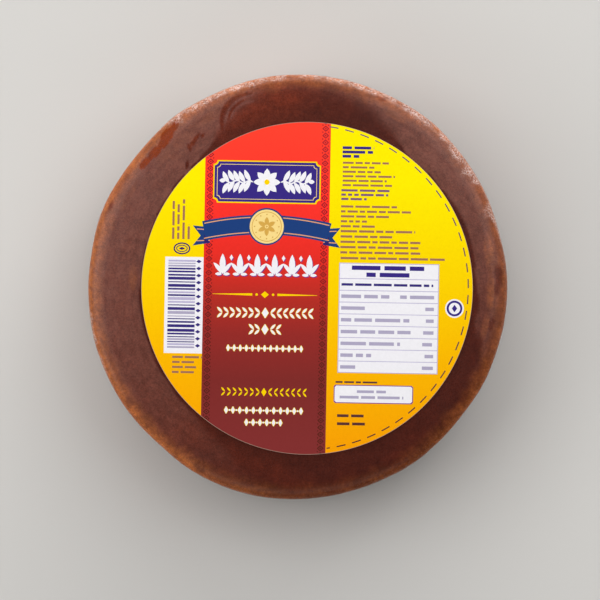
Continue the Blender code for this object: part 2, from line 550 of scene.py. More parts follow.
# Noise in the sugar: name, size in millimetres, detail and roughness.
SUGAR_NOISE = (
    ("swirls", 1.5, 4, 0.60),
    ("streaks", 1.3, 4, 0.60),
    ("mottle", 2.4, 5, 0.65),
    ("grain", 0.5, 3, 0.70),
    ("glint_specks", 0.55, 3, 0.80),
)
# How strongly each noise darkens and lightens the sugar: lowest and highest tone.
SUGAR_TONES = (("grain", 0.74, 1.26), ("swirls", 0.93, 1.07), ("mottle", 0.82, 1.18))
# How each noise roughens it: strength, and height in millimetres.
SUGAR_BUMPS = (("mottle", 0.35, 0.12), ("grain", 0.40, 0.06))
DRY_COAT = 0.28  # the dull coat on dry sugar
BEND_RADIUS = 60 * MM  # about the block's own, so that streaks keep their width at the rim


def sugar_material(block):
    """Panela: boiled cane juice, poured and set. Dark clouds, fine crystal grain and amber edges, dull and
    frosty where the film stands off it, wet and deep where the film clings. Painted light: the amber edges
    are partly painted glow, the brown of lifted film partly painted sheen, the pale rim glints painted
    highlight, and the red brown towards the top partly painted light."""
    material, output = new_material("panela_poured_and_set")
    place = add_node(material, "TexCoord").outputs["Object"]
    flat = add_node(material, "VectorMath", {0: place, 1: (1, 1, 0)}, operation="MULTIPLY").outputs[0]
    way = add_node(material, "VectorMath", {0: flat}, operation="NORMALIZE").outputs[0]
    reach = add_node(material, "VectorMath", {0: flat}, operation="LENGTH").outputs["Value"]
    height = add_node(material, "SeparateXYZ", {0: place}).outputs["Z"]
    fall = add_node(material, "Math", {0: BLOCK_HIGH.z, 1: height}, operation="SUBTRACT").outputs[0]
    reach = add_node(material, "Math", {0: reach, 1: fall}, operation="ADD").outputs[0]
    # Places bent round the block and down its side: swirls lie round it, streaks across it.
    bent = {}
    for name, around, across in (("swirls", BEND_RADIUS / 3, 1.0), ("streaks", BEND_RADIUS, 0.6)):
        turned = add_node(material, "VectorMath", {0: way, "Scale": around}, operation="SCALE").outputs[0]
        depth = add_node(material, "Math", {0: reach, 1: across}, operation="MULTIPLY").outputs[0]
        depth = add_node(material, "CombineXYZ", {"Z": depth}).outputs[0]
        bent[name] = add_node(material, "VectorMath", {0: turned, 1: depth}, operation="ADD").outputs[0]
    fields = {}
    for name, size, detail, roughness in SUGAR_NOISE:
        inputs = {"Vector": bent.get(name, place), "Scale": 1 / (size * MM)}
        inputs.update({"Detail": detail, "Roughness": roughness})
        fields[name] = add_node(material, "TexNoise", inputs).outputs["Fac"]

    color = block.deep
    # Each layer of colour lies over the ones before it, thinner where its noise is low.
    for name, field, thinnest, layer in (
        ("warm", "mottle", 0.80, block.warm),
        ("lifted", "swirls", 0.78, block.frosted),
        ("amber_edge", "streaks", 0.55, block.amber),
        ("deep_streak", "mottle", 0.70, block.bright_amber),
        # Painted highlight: pale glints along the rim, the last layer.
        ("bloom", "glint_specks", -0.3, block.bloom),
    ):
        share = add_node(material, "Attribute", attribute_name=name).outputs["Fac"]
        inputs = {"Value": fields[field], "From Min": 0.38, "From Max": 0.60, "To Min": thinnest}
        spread = add_node(material, "MapRange", inputs).outputs[0]
        amount = add_node(material, "Math", {0: share, 1: spread}, operation="MULTIPLY").outputs[0]
        layered = add_node(material, "Mix", {"Factor": amount, "A": color, "B": layer}, data_type="RGBA")
        color = layered.outputs["Result"]
        if name == "lifted":
            dry = amount
    for field, low, high in SUGAR_TONES:
        inputs = {"Value": fields[field], "From Min": 0.3, "From Max": 0.7, "To Min": low, "To Max": high}
        tone = add_node(material, "MapRange", inputs).outputs[0]
        color = add_node(material, "VectorMath", {0: color, "Scale": tone}, operation="SCALE").outputs[0]

    coat = add_node(material, "Math", {0: dry, 1: DRY_COAT}, operation="MULTIPLY").outputs[0]
    normal = {}
    for field, strength, distance in SUGAR_BUMPS:
        inputs = {"Height": fields[field], "Strength": strength, "Distance": distance * MM}
        normal = {"Normal": add_node(material, "Bump", inputs | normal).outputs[0]}
    inputs = {"Base Color": color, "Roughness": 0.6, "IOR": 1.54, "Specular IOR Level": 0.03}
    inputs.update({"Coat Weight": coat, "Coat Roughness": 0.42})
    shader = add_node(material, "BsdfPrincipled", inputs | normal)
    material.node_tree.links.new(shader.outputs[0], output.inputs["Surface"])
    return material


GRAIN_HEIGHT = 0.10 * MM
PIT_DEPTH = 0.35 * MM
PROUDEST = 0.04 * MM  # the most that grains stand out
UNDER_GAP = 0.35 * MM  # more room for the film's ripples below


def sugar_relief(grid, block):
    """How far the sugar stands out from the block's plain form at each point, in metres."""
    shoulder = smooth_step(0.15, 0.6, 1 - grid.upwards) * (grid.height > block.foot_up)
    grainy = GRAIN_HEIGHT * noise_field(grid.points, 1.6 * MM, 3) * shoulder
    pitted = smooth_step(0.42, 0.62, noise_field(grid.points, 4.2 * MM, 4)) * (0.3 + 0.7 * shoulder)
    broad = broad_relief(grid.points)
    relief = np.minimum(broad + grainy - PIT_DEPTH * pitted, broad + PROUDEST)
    under = UNDER_GAP * (1 - smooth_step(0.5 * MM, 2.5 * MM, grid.height))
    return relief - block.gap - under


class PANELA_OT_sugar_block(bpy.types.Operator):
    """Makes the block of sugar, just inside its film."""

    bl_idname = "panela.sugar_block"
    bl_label = "Sugar Block"

    def execute(self, context):
        block = context.scene.panela_block
        grid = BlockGrid(block, around=640, fine_step=0.48 * MM)
        mesh = grid.mesh("sugar_block", sugar_relief(grid, block))
        for look in (lifted, warm, amber_edge, deep_streak, bloom):
            grid.write(mesh, look.__name__, look(grid))
        mesh.materials.append(sugar_material(block))
        link_piece("sugar_block", mesh, "sugar_under_film", "panela_disc")
        return {"FINISHED"}


# ---------------------------------------------------------------- film


# Unevenness of the film's gloss: size in millimetres, detail, roughness, strength, height in millimetres.
FILM_BUMPS = ((1.9, 3, 0.55, 0.5, 0.10), (0.7, 2, 0.50, 0.4, 0.05))


def film_material(film):
    """Clear polyolefin shrink film: sees straight through, with a soft, slightly orange-peeled gloss that
    is weaker where the film clings to the sugar."""
    material, output = new_material("polyolefin_shrunk")
    place = add_node(material, "TexCoord").outputs["Object"]
    normal = {}
    for size, detail, roughness, strength, distance in FILM_BUMPS:
        inputs = {"Vector": place, "Scale": 1 / (size * MM), "Detail": detail, "Roughness": roughness}
        peel = add_node(material, "TexNoise", inputs).outputs["Fac"]
        inputs = {"Height": peel, "Strength": strength, "Distance": distance * MM}
        normal = {"Normal": add_node(material, "Bump", inputs | normal).outputs[0]}
    clear = add_node(material, "BsdfTransparent").outputs[0]
    gloss = add_node(material, "BsdfGlossy", {"Roughness": film.roughness} | normal).outputs[0]
    share = add_node(material, "Fresnel", {"IOR": film.ior} | normal).outputs[0]
    loose = add_node(material, "Attribute", attribute_name="lifted").outputs["Fac"]
    inputs = {"Value": loose, "To Min": film.wet_gloss, "To Max": film.gloss}
    kept = add_node(material, "MapRange", inputs).outputs[0]
    share = add_node(material, "Math", {0: share, 1: kept}, operation="MULTIPLY").outputs[0]
    inner = add_node(material, "NewGeometry").outputs["Backfacing"]
    outer = add_node(material, "Math", {0: 1.0, 1: inner}, operation="SUBTRACT").outputs[0]
    share = add_node(material, "Math", {0: share, 1: outer}, operation="MULTIPLY").outputs[0]
    skin = add_node(material, "MixShader", {0: share, 1: clear, 2: gloss})
    material.node_tree.links.new(skin.outputs[0], output.inputs["Surface"])
    return material


def film_relief(grid, film):
    """How far the film stands out from the block's plain form at each point, in metres."""
    rng = random.Random(4)
    relief = broad_relief(grid.points)
    side = smooth_step(0.0, 0.5, 1 - np.abs(grid.upwards))
    relief += 0.05 * MM * noise_field(grid.points, 2.4 * MM, 21) * side

    waver = 0.7 * MM * np.sin(3 * grid.angle + 1.1) + 0.3 * MM * np.sin(11 * grid.angle)
    off_seam = np.abs(grid.height - film.seam_height - waver)
    standing = (grid.radius > 0.9 * grid.radius.max()) & (grid.upwards < 0.5)
    relief += film.seam_ridge * (1 - smooth_step(0.15 * MM, 0.75 * MM, off_seam)) * standing

    arc_length = grid.radius.max()
    for pleat in range(film.pleats):
        middle = 2 * math.pi * (pleat + rng.uniform(-0.35, 0.35)) / film.pleats
        lean = rng.uniform(-0.25, 0.25)
        top = rng.uniform(12, 22) * MM
        drift = middle + lean * (grid.height - film.seam_height) / arc_length
        off = np.abs((grid.angle - drift + math.pi) % (2 * math.pi) - math.pi) * arc_length
        fold = 1 - smooth_step(0.0, rng.uniform(0.6, 1.3) * MM, off)
        reach = 1 - smooth_step(0.5 * top, top, grid.height)
        reach *= grid.height > 0.8 * MM
        relief += film.pleat_ridge * rng.uniform(0.4, 1.0) * fold * reach * standing

    for arc in CLINGING_ARCS:
        relief -= 0.08 * MM * grid.arc(*arc)
    rippling = smooth_step(20 * MM, 34 * MM, grid.radius)
    rippling *= 1 - smooth_step(44 * MM, 54 * MM, grid.radius)
    ripples = 0.5 - 0.5 * np.cos(46 * grid.angle + 5 * noise_field(grid.points, 14 * MM, 23))
    relief -= 0.22 * MM * ripples * rippling * (grid.upwards < -0.9)
    return relief


class PANELA_OT_shrink_film(bpy.types.Operator):
    """Makes the clear film, a closed skin round the sugar."""

    bl_idname = "panela.shrink_film"
    bl_label = "Shrink Film"

    def execute(self, context):
        block, film = context.scene.panela_block, context.scene.panela_film
        grid = BlockGrid(block, around=560, fine_step=0.52 * MM)
        relief = film_relief(grid, film)
        mesh = grid.mesh("shrink_film", np.where(grid.upwards < -0.98, np.minimum(relief, 0.0), relief))
        grid.write(mesh, "lifted", lifted(grid))
        mesh.materials.append(film_material(film))
        link_piece("shrink_film", mesh, "sugar_under_film", "panela_disc")
        return {"FINISHED"}


# ---------------------------------------------------------------- label artwork


def rectangle(left, bottom, right, top):
    return [(left, bottom), (right, bottom), (right, top), (left, top)]


def diamond(u, v, half_width, half_height):
    return [(u + half_width, v), (u, v + half_height), (u - half_width, v), (u, v - half_height)]


def oval(u, v, half_width, half_height, sides=24):
    turns = [2 * math.pi * side / sides for side in range(sides)]
    return [(u + half_width * math.cos(turn), v + half_height * math.sin(turn)) for turn in turns]


def leaf(u, v, bearing, length, half_width, bend=0.0, steps=6):
    """A pointed leaf from its foot at u, v; bend swings its tip aside."""
    middle, upper, lower = [], [], []
    for step in range(steps + 1):
        share = step / steps
        turn = math.radians(bearing + bend * share)
        middle.append((u + length * share * math.cos(turn), v + length * share * math.sin(turn)))
        swell = half_width * math.sin(math.pi * share) ** 0.8
        aside = turn + math.pi / 2
        upper.append((middle[-1][0] + swell * math.cos(aside), middle[-1][1] + swell * math.sin(aside)))
        lower.append((middle[-1][0] - swell * math.cos(aside), middle[-1][1] - swell * math.sin(aside)))
    return [middle[0], *lower[1:-1], middle[-1], *reversed(upper[1:-1])]


def strip(line, half_width):
    """A band along a line of points, square at its ends."""
    upper, lower = [], []
    for at, (u, v) in enumerate(line):
        before, after = line[max(at - 1, 0)], line[min(at + 1, len(line) - 1)]
        way = Vector((after[0] - before[0], after[1] - before[1])).normalized()
        upper.append((u - way.y * half_width, v + way.x * half_width))
        lower.append((u + way.y * half_width, v - way.x * half_width))
    return lower + upper[::-1]


def shifted(points, du, dv):
    return [(u + du, v + dv) for u, v in points]


class Artwork:
    """The label's print: flat shapes in millimetres, each laid over the ones before it."""

    def __init__(self):
        self.shapes = []
        self.rng = random.Random(12)

    def lay(self, ink, *shapes):
        for points in shapes:
            area = sum(a[0] * b[1] - b[0] * a[1] for a, b in zip(points, points[1:] + points[:1]))
            self.shapes.append((ink, points if area > 0 else points[::-1]))

    def fine_line(self, ink, u, v, length, height, upright=False):
        """A line of greeked print: one plain bar for each word, v at their mid height."""
        at = 0.0
        while at < length:
            word = min(self.rng.uniform(1.1, 5.2) * height, length - at)
            box = rectangle(at, -0.3 * height, at + word, 0.3 * height)
            if upright:
                box = [(-b, a) for a, b in box]
            self.lay(ink, shifted(box, u, v))
            at += word + 0.55 * height


BAND_LEFT, BAND_RIGHT = -29.0, 5.9
BAND_MIDDLE = (BAND_LEFT + BAND_RIGHT) / 2
REACH = 48.0  # beyond the label's edge


def lay_band(art):
    """The red band down the label, with a woven chain of diamonds down each side."""
    art.lay("band", rectangle(BAND_LEFT, -REACH, BAND_RIGHT, REACH))
    pitch = 1.94
    for column in (BAND_LEFT + 1.5, BAND_RIGHT - 1.45):
        for row in range(-24, 25):
            v = row * pitch
            art.lay("chain", diamond(column, v, 0.94, 0.86))
            art.lay("band", diamond(column, v, 0.6, 0.54))
            art.lay("chain", diamond(column, v, 0.26, 0.24))
            for side in (-1, 1):
                art.lay("chain", diamond(column + side * 0.8, v + pitch / 2, 0.2, 0.22))


# The panel's frames, from the outermost: ink, half width, half height and bite out of each corner.
PANEL_FRAMES = (
    ("gold", 15.0, 5.95, 1.1),
    ("panel", 14.65, 5.6, 1.1),
    ("cream", 13.95, 4.9, 0.9),
    ("panel", 13.8, 4.75, 0.9),
)


def lay_panel(art):
    """The blue panel at the head of the band: hollow corners, a fine keyline and a garland."""
    middle, level = BAND_MIDDLE - 0.15, 29.4
    for ink, half_width, half_height, bite in PANEL_FRAMES:
        outline = []
        for side_u, side_v, start in ((1, 1, 270), (-1, 1, 0), (-1, -1, 90), (1, -1, 180)):
            corner = (middle + side_u * half_width, level + side_v * half_height)
            turns = [math.radians(start - 90 * step / 6) for step in range(7)]
            arc = [(bite * math.cos(turn), bite * math.sin(turn)) for turn in turns]
            outline += shifted(arc, *corner)
        art.lay(ink, outline)
    for petal in range(8):
        art.lay("paper", leaf(middle, level, 45 * petal, 3.8, 0.95))
    art.lay("gold", oval(middle, level, 0.75, 0.75, 16))
    for side in (-1, 1):
        facing = 0 if side > 0 else 180
        stem = [(side * (4.0 + 0.5 * step), 0.35 * math.sin(0.9 * step)) for step in range(16)]
        stem = shifted(stem, middle, level)
        art.lay("paper", strip(stem, 0.2))
        for at in range(1, 14, 3):
            u, v = stem[at]
            for aside in (side, -side):
                art.lay("paper", leaf(u, v, facing + aside * 46, 3.6, 0.68, aside * 14))
        art.lay("paper", leaf(*stem[-1], facing, 1.8, 0.6))


RIBBON_HALF, RIBBON_LINE = 2.75, 0.14  # half widths of the ribbon and of its fine lines
# The medallion's rings, from the outermost: ink and radius.
MEDALLION_RINGS = (("navy", 5.2), ("cream", 4.75), ("straw", 4.2), ("cream", 4.0))


def lay_ribbon(art):
    """The navy ribbon across the band, its tails on the yellow, and a round medallion."""
    middle, level = BAND_MIDDLE, 16.4

    def arch(u):
        return level + 1.1 - 2.0 * ((u - middle) / 17.5) ** 2

    for side in (-1, 1):
        near, far = middle + side * 15.8, middle + side * 20.6
        low = arch(near) - 1.5
        tail = [
            (near, low - 2.2), (far, low - 3.0), (far - side * 2.2, low - 0.2),
            (far, low + 2.6), (near, low + 2.2),
        ]
        art.lay("navy", tail)
        for edge in (1.45, -1.45):
            line = [(near, low + edge), (far - side * 1.1, low + edge * 1.15)]
            art.lay("peach", strip(line, RIBBON_LINE))
        fold = [(near, low - 2.2), (middle + side * 17.4, low - 2.2), (middle + side * 17.4, low + 0.2)]
        art.lay("violet", fold)
    line = [middle - 17.45 + 34.9 * step / 36 for step in range(37)]
    art.lay("navy", strip([(u, arch(u)) for u in line], RIBBON_HALF))
    for edge in (2.1, -2.1):
        art.lay("peach", strip([(u, arch(u) + edge) for u in line], RIBBON_LINE))
    heart = level + 0.6
    for ink, radius in MEDALLION_RINGS:
        art.lay(ink, oval(middle, heart, radius, radius, 48))
    for petal in range(6):
        art.lay("straw", leaf(middle, heart, 60 * petal + 30, 2.7, 0.62))
    for bead in range(12):
        turn = math.radians(30 * bead)
        art.lay("straw", oval(middle + 3.4 * math.cos(turn), heart + 3.4 * math.sin(turn), 0.2, 0.2, 8))
    art.lay("cream", oval(middle, heart, 0.55, 0.55, 16))
    art.lay("straw", oval(middle, heart, 0.28, 0.28, 12))


def lay_heading(art):
    """A bold white frieze of palmettes over its own violet shadow."""
    level, pitch = 5.9, 4.85
    shapes = []
    for at in range(6):
        u = BAND_MIDDLE + (at - 2.5) * pitch
        shapes.append(leaf(u, level - 2.4, 90, 5.8, 0.85))
        for side in (-1, 1):
            shapes.append(leaf(u + side * 0.3, level - 2.3, 90 - side * 20, 3.9, 0.56, -side * 16))
            shapes.append(leaf(u + side * 0.2, level - 2.5, 90 - side * 72, 1.9, 0.44, -side * 12))
        if at:
            shapes.append(diamond(u - pitch / 2, level + 2.3, 0.5, 0.85))
    art.lay("shade", *(shifted(points, 0.2, -0.24) for points in shapes))
    art.lay("paper", *shapes)


def lay_divider(art):
    """Two tapering gold rules, two dots and a diamond."""
    middle, level = BAND_MIDDLE - 0.2, -2.0
    art.lay("gold", diamond(middle, level, 1.1, 0.95))
    for side in (-1, 1):
        art.lay("gold", oval(middle + side * 2.3, level, 0.36, 0.36, 12))
        rule = [
            (middle + side * 3.5, level - 0.33), (middle + side * 14.6, level - 0.05),
            (middle + side * 14.6, level + 0.05), (middle + side * 3.5, level + 0.33),
        ]
        art.lay("gold", rule)


def lay_fringed(art, ink, shapes, fringe):
    """Lays shapes in one ink, over a gold fringe at each side of them where there is one."""
    if fringe:
        for points in shapes:
            art.lay("gold", shifted(points, -0.14, 0), shifted(points, 0.14, 0))
    art.lay(ink, *shapes)


def lay_chain_line(art, ink, level, width, height, pitch, fringe=True):
    """A line of upright lozenges with beads between, as wide and tall as a line of large print."""
    count = round(width / pitch)
    shapes = []
    for at in range(count):
        u = BAND_MIDDLE + (at - (count - 1) / 2) * pitch
        shapes.append(diamond(u, level, 0.28 * pitch, height / 2))
        if at:
            shapes.append(oval(u - pitch / 2, level, 0.12 * height, 0.12 * height, 10))
    lay_fringed(art, ink, shapes, fringe)


def lay_leaf_line(art, ink, level, width, height, pitch, fringe=True):
    """A line of leaf pairs that point out from the middle, as wide and tall as a line of large print."""
    shapes = [diamond(BAND_MIDDLE, level, 0.3 * height, 0.48 * height)]
    for side in (-1, 1):
        facing = 0 if side > 0 else 180
        count = int((width / 2 - 0.5 * height) / pitch)
        for at in range(count):
            u = BAND_MIDDLE + side * (0.5 * height + at * pitch)
            for tilt in (side * 48, -side * 48):
                shapes.append(leaf(u, level, facing + tilt, 0.64 * height, 0.1 * height))
    lay_fringed(art, ink, shapes, fringe)


def lay_band_lines(art):
    """Rows of small ornament down the lower band."""
    lay_leaf_line(art, "paper", -7.1, 28.0, 3.1, 1.75)
    lay_leaf_line(art, "paper", -11.7, 10.8, 3.1, 1.6)
    lay_chain_line(art, "paper", -17.0, 22.9, 2.0, 1.7)
    lay_leaf_line(art, "gold", -29.2, 27.4, 2.5, 1.6, fringe=False)
    lay_chain_line(art, "paper", -34.35, 23.5, 2.1, 1.9)
    lay_chain_line(art, "paper", -37.7, 11.5, 2.1, 1.9)


LEFT_RING_MIDDLE = (-35.1, 10.5)
# The ring above the bar code, from its outer edge inwards: ink, half width and half height.
LEFT_RING = (("violet", 2.35, 1.68), ("ground", 1.95, 1.3), ("violet", 1.6, 1.0), ("ground", 1.35, 0.75))
CODE_LEFT, CODE_RIGHT, CODE_LOW, CODE_HIGH = -38.8, -31.2, -17.3, 7.75


def lay_left_field(art):
    """Small print, a ring and a bar code on the yellow at the left."""
    for u, length in ((-37.6, 10.6), (-36.2, 9.7), (-34.75, 11.1), (-33.3, 4.2)):
        art.fine_line("plum", u, 13.1, length, 1.05, upright=True)
    for ink, half_width, half_height in LEFT_RING:
        art.lay(ink, oval(*LEFT_RING_MIDDLE, half_width, half_height, 32))
    art.lay("violet", diamond(*LEFT_RING_MIDDLE, 0.95, 0.42))
    art.lay("paper", rectangle(-39.7, -18.75, BAND_LEFT, 8.15))
    at = CODE_LOW
    while at < CODE_HIGH - 0.15:
        thick = art.rng.choice((0.3, 0.5, 0.5, 0.8))
        ink = art.rng.choice(("bar", "bar", "lilac", "heather"))
        art.lay(ink, rectangle(CODE_LEFT, at, CODE_RIGHT, min(at + thick, CODE_HIGH)))
        at += thick + art.rng.choice((0.3, 0.3, 0.45))
    for mark in range(13):
        art.lay("bar", diamond(-30.3, -16.6 + mark * 1.96, 0.75, 0.52))
    for line, length in enumerate((8.4, 6.1, 6.7, 6.1)):
        art.fine_line("plum", -37.3, -19.8 - 1.4 * line, length, 1.0)


# Blocks of small print at the right: ink, left edge, first line, pitch, print height, lengths.
RIGHT_PRINT = (
    ("panel", 9.25, 39.4, 1.19, 1.3, (8.8, 8.5, 4.7)),
    ("plum", 9.4, 35.2, 1.25, 0.95, (12.8, 8.8, 10.6, 14.6, 12.3, 13.8)),
    ("mauve", 9.1, 27.5, 1.2, 1.05, (14.0, 13.1, 7.1)),
    ("plum", 9.1, 23.0, 1.38, 1.0, (15.6, 19.5, 13.4, 7.3, 9.5)),
    ("plum", 9.1, 16.1, 1.48, 1.05, (20.8, 14.4, 22.3, 21.8, 22.3)),
    ("plum", 9.2, 8.6, 1.4, 1.05, (29.6,)),
    ("overprint", 8.4, -26.0, 1.4, 0.85, (11.7,)),
    ("overprint", 9.0, -35.4, 2.25, 1.3, (7.4, 7.8)),
)

TABLE_LEFT, TABLE_RIGHT, TABLE_TOP = 8.85, 36.8, 7.3
TABLE_HEAD, TABLE_ROW = 4.4, 3.29
# Each row of the table: the length of its words, and of its figures.
TABLE_ROWS = (
    (25.6, 0), (13.4, 9.5), (6.6, 2.4), (19.1, 2.2), (19.5, 2.9), (16.6, 3.1), (8.6, 2.4), (4.2, 3.1),
)


RIGHT_RING_MIDDLE = (41.25, -4.95)
# The ring at the right edge, from its outer edge inwards: ink, radius and sides.
RIGHT_RING = (("paper", 2.62, 40), ("panel", 2.2, 40), ("paper", 1.6, 32))
BOX_LEFT, BOX_RIGHT, BOX_LOW, BOX_HIGH = 7.95, 30.1, -31.9, -26.75
BOX_CUT = 0.45  # off each corner


def lay_right_field(art):
    """Small print, a ruled table, a ring and a white box on the yellow at the right."""
    for ink, left, first, pitch, height, lengths in RIGHT_PRINT:
        for line, length in enumerate(lengths):
            art.fine_line(ink, left, first - pitch * line, length, height)

    bottom = TABLE_TOP - TABLE_HEAD - TABLE_ROW * len(TABLE_ROWS)
    edge = 0.22
    art.lay("lilac", rectangle(TABLE_LEFT, bottom, TABLE_RIGHT, TABLE_TOP))
    art.lay("paper", rectangle(TABLE_LEFT + edge, bottom + edge, TABLE_RIGHT - edge, TABLE_TOP - edge))
    art.fine_line("panel", 12.4, 5.95, 20.2, 2.0)
    art.fine_line("panel", 16.5, 4.05, 12.0, 2.0)
    for row, (words, figures) in enumerate(TABLE_ROWS):
        top = TABLE_TOP - TABLE_HEAD - TABLE_ROW * row
        art.lay("lilac", rectangle(TABLE_LEFT, top - 0.1, TABLE_RIGHT, top + 0.1))
        middle = top - TABLE_ROW / 2
        ink, height = ("heather", 1.6) if row else ("bar", 1.15)
        art.fine_line(ink, 9.6, middle, words, height)
        art.fine_line(ink, 35.5 - figures, middle, figures, 1.6)

    for ink, radius, sides in RIGHT_RING:
        art.lay(ink, oval(*RIGHT_RING_MIDDLE, radius, radius, sides))
    art.lay("panel", diamond(*RIGHT_RING_MIDDLE, 0.75, 1.05))

    for ink, inset in (("shade", 0.0), ("paper", 0.24)):
        left, right, low, high = BOX_LEFT + inset, BOX_RIGHT - inset, BOX_LOW + inset, BOX_HIGH - inset
        box = [
            (left + BOX_CUT, low), (right - BOX_CUT, low), (right, low + BOX_CUT), (right, high - BOX_CUT),
            (right - BOX_CUT, high), (left + BOX_CUT, high), (left, high - BOX_CUT), (left, low + BOX_CUT),
        ]
        art.lay(ink, box)
    art.fine_line("heather", 14.4, -28.6, 8.1, 1.25)
    art.fine_line("heather", 9.6, -30.2, 17.8, 1.25)


def lay_dashes(art):
    """A dashed line round the edge of the yellow, from the band's head to its foot."""
    middle, radius, dash, pitch, half_width = (-0.3, 0.25), 45.3, 2.55, 4.45, 0.17
    turn = math.radians(82.7)
    while turn > math.radians(-85):
        steps = [turn - dash / radius * step / 8 for step in range(9)]
        line = shifted([(radius * math.cos(step), radius * math.sin(step)) for step in steps], *middle)
        line = [(u, v) for u, v in line if u > BAND_RIGHT or v > 0]
        if len(line) > 1:
            art.lay("overprint", strip(line, half_width))
        turn -= pitch / radius


def label_artwork():
    art = Artwork()
    lay_band(art)
    lay_panel(art)
    lay_ribbon(art)
    lay_heading(art)
    lay_divider(art)
    lay_band_lines(art)
    lay_left_field(art)
    lay_right_field(art)
    lay_dashes(art)
    return art.shapes


# ---------------------------------------------------------------- label

# Inks that change down the label: height up the print in millimetres, and colour.
GRADED_INKS = {
    "ground": ((-44, "#FFA503"), (-20, "#FFBA01"), (2, "#FFD401"), (30, "#FFEC01")),
    "band": (
        (-44, "#853231"), (-26, "#802D2A"), (-13, "#962D29"), (-3.5, "#B42F26"), (10, "#EC3027"),
        (23, "#FE352C"), (44, "#FD412F"),
    ),
    "overprint": ((-44, "#58322A"), (0, "#6A4A4C"), (44, "#776070")),
    "chain": ((-40, "#4E2418"), (-10, "#5C201C"), (10, "#7A1C22"), (40, "#921F30")),
}
PLAIN_INKS = (
    "paper", "panel", "navy", "peach", "cream", "straw", "gold", "violet", "bar", "mauve", "plum",
    "heather", "lilac", "shade", "cut_edge",
)
INKS = (*GRADED_INKS, *PLAIN_INKS)
LABEL_LIFT = 0.1 * MM  # the label's lower face above the block's plain form
SHEET_STEP = 2.5  # spacing of the points that let the sheet follow the crown, in millimetres
SHARP_ANGLE = math.radians(40)


def ink_material(label, name):
    """Offset ink on coated paper: full, even colour with a faint mottle, and the paper's soft sheen."""
    material, output = new_material("offset_ink_" + name if name != "paper" else "coated_paper_printed")
    place = add_node(material, "TexCoord").outputs["Object"]
    if name in GRADED_INKS:
        stops = GRADED_INKS[name]
        low, high = stops[0][0], stops[-1][0]
        height = add_node(material, "SeparateXYZ", {0: place}).outputs["Y"]
        inputs = {"Value": height, "From Min": low * MM, "From Max": high * MM}
        share = add_node(material, "MapRange", inputs)
        ramp = add_node(material, "ValToRGB", {"Fac": share.outputs[0]})
        set_ramp(ramp, [((at - low) / (high - low), linear(color)) for at, color in stops])
        color = ramp.outputs["Color"]
    else:
        color = add_node(material, "RGB")
        color.outputs[0].default_value = getattr(label, name)
        color = color.outputs[0]
    mottle = add_node(material, "TexNoise", {"Vector": place, "Scale": 1 / (0.8 * MM), "Detail": 4})
    tone = add_node(material, "MapRange", {"Value": mottle.outputs["Fac"], "To Min": 0.95, "To Max": 1.05})
    toned = add_node(material, "VectorMath", {0: color, 1: tone.outputs[0]}, operation="MULTIPLY")
    fibre = add_node(material, "TexNoise", {"Vector": place, "Scale": 1 / (2.5 * MM), "Detail": 5})
    inputs = {"Height": fibre.outputs["Fac"], "Strength": 0.2, "Distance": 0.03 * MM}
    bump = add_node(material, "Bump", inputs)
    inputs = {"Base Color": toned.outputs[0], "Roughness": 0.55, "IOR": 1.5, "Specular IOR Level": 0.02}
    shader = add_node(material, "BsdfPrincipled", inputs | {"Normal": bump.outputs[0]})
    material.node_tree.links.new(shader.outputs[0], output.inputs["Surface"])
    return material


def divided(points, longest):
    """The outline with points added along it, so that no side of it is longer than this."""
    result = []
    for here, beyond in zip(points, points[1:] + points[:1]):
        parts = math.ceil(math.dist(here, beyond) / longest)
        result += [tuple(Vector(here).lerp(beyond, part / parts)) for part in range(parts)]
    return result


def printed_sheet(radius, squeeze, bare):
    """Cuts the round sheet along every printed edge. Returns its points and its (triangle, ink) faces."""
    inner = radius - bare
    shapes = [
        # The outer ring is painted light along the cut edge.
        ("cut_edge", oval(0, 0, radius * squeeze, radius, 240)),
        ("ground", oval(0, 0, inner * squeeze, inner, 240)),
        *label_artwork(),
    ]
    points, outlines = [], []
    for _, shape in shapes:
        shape = divided(shape, SHEET_STEP)
        outlines.append(list(range(len(points), len(points) + len(shape))))
        points += shape
    reach = int(radius / SHEET_STEP)
    points += [
        (column * SHEET_STEP, row * SHEET_STEP)
        for column in range(-reach, reach + 1)
        for row in range(-reach, reach + 1)
        if math.hypot(column, row) * SHEET_STEP < radius - 1
    ]
    cut = geometry.delaunay_2d_cdt([Vector(point) for point in points], [], outlines, 0, 1e-5)
    faces = [
        (corners, INKS.index(shapes[max(covers)][0] if 1 in covers else "cut_edge"))
        for corners, covers in zip(cut[2], cut[5])
        if 0 in covers
    ]
    return cut[0], faces


